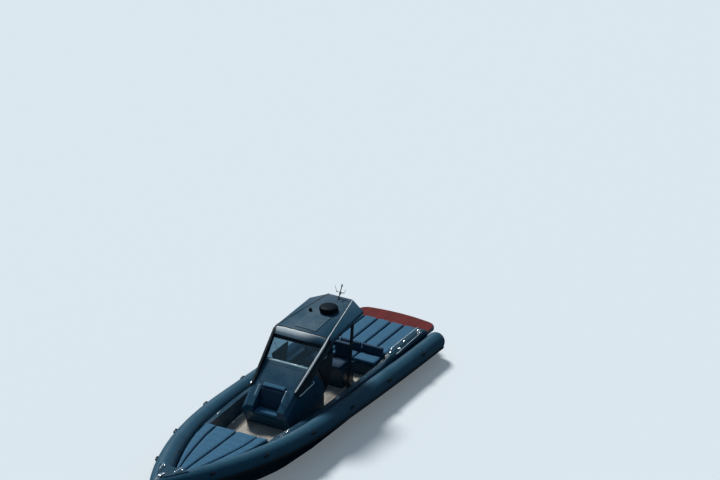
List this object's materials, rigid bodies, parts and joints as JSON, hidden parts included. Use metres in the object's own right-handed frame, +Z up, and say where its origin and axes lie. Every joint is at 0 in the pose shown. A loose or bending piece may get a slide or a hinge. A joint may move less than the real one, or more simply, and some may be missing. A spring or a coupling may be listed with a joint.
{
  "type": "rigid inflatable boat with hardtop",
  "caption": "Long rigid inflatable boat with side tubes, hardtop console, bow and stern sunpads, swim platform and twin stern drives, floating at its waterline.",
  "frame": {"origin": "on the waterline, on the centreline, 0.6 m aft of the transom, under the swim platform", "axes": "+X forward to the bow, +Y to port, +Z up"},
  "size_m": [12.74, 3.3782, 3.7463],
  "materials": {
    "hull_paint": "gloss",
    "deck_paint": "satin",
    "tube_fabric": "satin",
    "black_rubber": "matte",
    "sole_wood": "satin",
    "red_teak": "satin",
    "console_paint": "gloss",
    "cushion_fabric": "matte",
    "screen_glass": "gloss",
    "visor_paint": "gloss",
    "black_paint": "gloss",
    "roof_paint": "satin",
    "radome_plastic": "matte",
    "wheel_rim": "satin",
    "stainless": "polished",
    "engine_paint": "satin",
    "hatch_paint": "gloss",
    "drive_paint": "satin"
  },
  "bodies": {
    "boat": {"hull": "hull_paint", "stern_deck": "deck_paint", "side_decks": "deck_paint", "bow_deck": "deck_paint", "bow_cap": "deck_paint", "bow_roller": "stainless", "tube_port": "tube_fabric", "tube_starboard": "tube_fabric", "strake_port": "black_rubber", "strake_starboard": "black_rubber", "tube_handles": "black_rubber", "sole_teak": "sole_wood", "swim_platform": "deck_paint", "platform_teak": "red_teak", "console": "console_paint", "console_sides": "black_paint", "sunroof_panel": "hatch_paint", "front_seat_cushion": "cushion_fabric", "front_seat_back": "cushion_fabric", "windscreen": "screen_glass", "screen_visor": "visor_paint", "side_arches": "black_paint", "hardtop": "roof_paint", "rear_struts": "black_paint", "radome": "radome_plastic", "aerial_puck": "radome_plastic", "light_mast": "black_paint", "dash_panel": "radome_plastic", "throttle_levers": "stainless", "helm_module": "deck_paint", "helm_seats": "cushion_fabric", "rear_bench": "deck_paint", "rear_bench_cushion": "cushion_fabric", "rear_backrest": "cushion_fabric", "engine_port": "engine_paint", "engine_starboard": "engine_paint", "bow_pad_port": "cushion_fabric", "bow_pad_starboard": "cushion_fabric", "aft_rails": "stainless", "bow_rails": "stainless", "transom_shield_port": "drive_paint", "transom_shield_starboard": "drive_paint", "bow_eye": "stainless", "stern_eyes": "stainless"},
    "wheel": {"steering_wheel": "wheel_rim"},
    "gimbal_port": {"gimbal_port": "drive_paint"},
    "gimbal_starboard": {"gimbal_starboard": "drive_paint"},
    "leg_port": {"drive_leg_port": "drive_paint"},
    "leg_starboard": {"drive_leg_starboard": "drive_paint"},
    "prop_port": {"propeller_port": "stainless"},
    "prop_starboard": {"propeller_starboard": "stainless"},
    "hatch": {"engine_hatch": "deck_paint", "aft_sunpad": "cushion_fabric"},
    "anchor_lid": {"anchor_hatch": "hatch_paint"}
  },
  "joints": [
    {"name": "helm_turn", "type": "hinge", "parent": "boat", "child": "wheel", "pos_m": [5.129, -0.23, 1.272], "axis": [-0.8, 0, 0.6], "range_deg": [-500, 500]},
    {"name": "steer_port", "type": "hinge", "parent": "boat", "child": "gimbal_port", "pos_m": [0.45, 0.42, 0.06], "axis": [0, 0, 1], "range_deg": [-25, 25]},
    {"name": "steer_starboard", "type": "hinge", "parent": "boat", "child": "gimbal_starboard", "pos_m": [0.45, -0.42, 0.06], "axis": [0, 0, 1], "range_deg": [-25, 25]},
    {"name": "trim_port", "type": "hinge", "parent": "gimbal_port", "child": "leg_port", "pos_m": [0.45, 0.42, 0.06], "axis": [0, 1, 0], "range_deg": [-4, 34]},
    {"name": "trim_starboard", "type": "hinge", "parent": "gimbal_starboard", "child": "leg_starboard", "pos_m": [0.45, -0.42, 0.06], "axis": [0, 1, 0], "range_deg": [-4, 34]},
    {"name": "prop_port_spin", "type": "hinge", "parent": "leg_port", "child": "prop_port", "pos_m": [0, 0.42, -0.65], "axis": [1, 0, 0], "continuous": true},
    {"name": "prop_starboard_spin", "type": "hinge", "parent": "leg_starboard", "child": "prop_starboard", "pos_m": [0, -0.42, -0.65], "axis": [1, 0, 0], "continuous": true},
    {"name": "engine_hatch_lift", "type": "hinge", "parent": "boat", "child": "hatch", "pos_m": [0.628, 0, 0.7003], "axis": [0, -1, 0], "range_deg": [0, 50]},
    {"name": "anchor_hatch_lift", "type": "hinge", "parent": "boat", "child": "anchor_lid", "pos_m": [11.19558, 0, 1.0073], "axis": [0, -1, 0], "range_deg": [0, 80]}
  ],
  "couplings": [
    {"joint": "steer_port", "follows": "helm_turn", "ratio": 0.05},
    {"joint": "steer_starboard", "follows": "helm_turn", "ratio": 0.05},
    {"joint": "trim_starboard", "follows": "trim_port", "ratio": 1}
  ]
}
